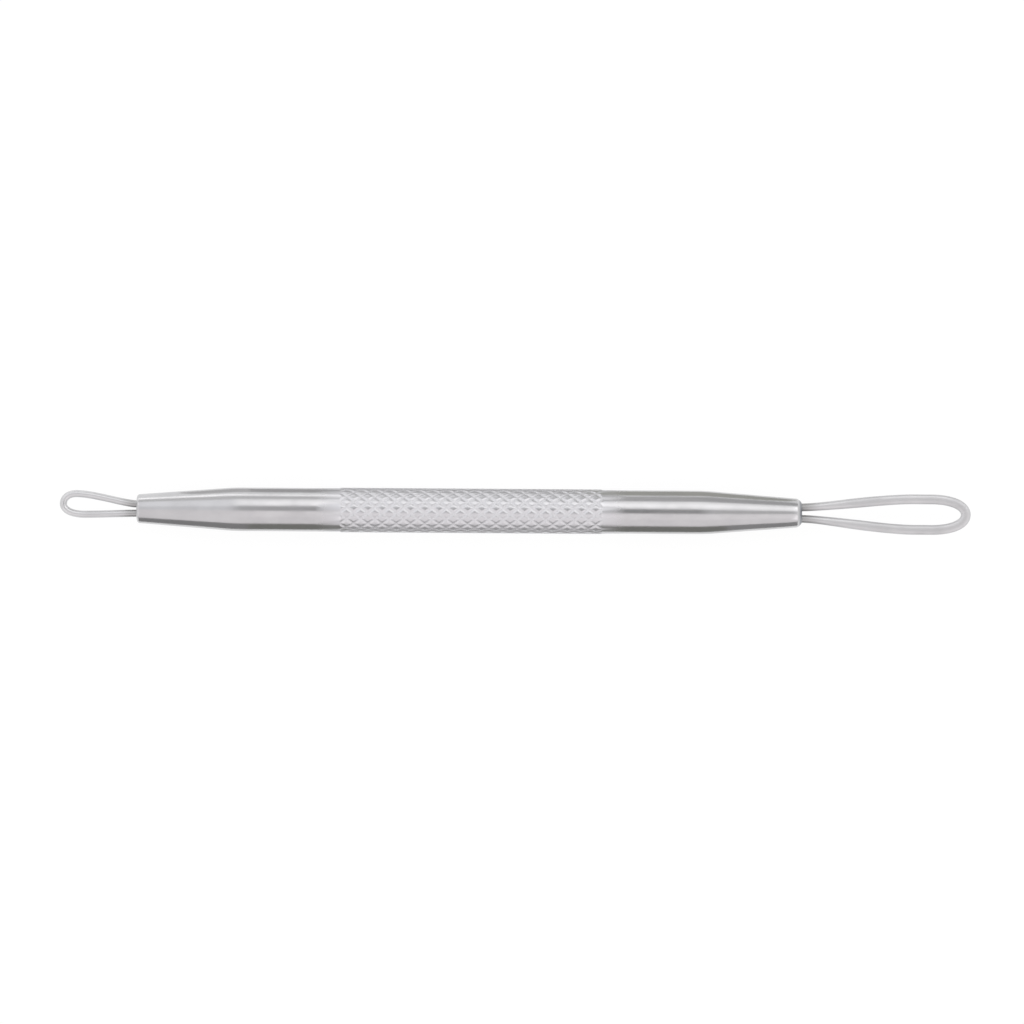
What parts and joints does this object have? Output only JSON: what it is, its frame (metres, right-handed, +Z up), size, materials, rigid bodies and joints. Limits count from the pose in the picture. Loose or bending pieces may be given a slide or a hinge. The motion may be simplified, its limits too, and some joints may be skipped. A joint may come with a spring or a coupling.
{
  "type": "comedone extractor",
  "caption": "Slim double-ended skin tool: a tapered round handle with a diamond-knurled grip and a wire loop fixed in each end.",
  "frame": {"origin": "under the middle of the tool's length, on the surface that it lies on", "axes": "+X along the handle from the small loop to the large loop, +Z up from the surface; both loops lie level"},
  "size_m": [0.1254, 0.0062, 0.0062],
  "materials": {
    "handle_steel": "finely turned and satin polished",
    "small_wire_steel": "drawn wire, satin polished",
    "large_wire_steel": "drawn wire, pressed and satin polished"
  },
  "bodies": {
    "root": {"handle": "handle_steel", "small_loop": "small_wire_steel", "large_loop": "large_wire_steel"}
  },
  "joints": []
}
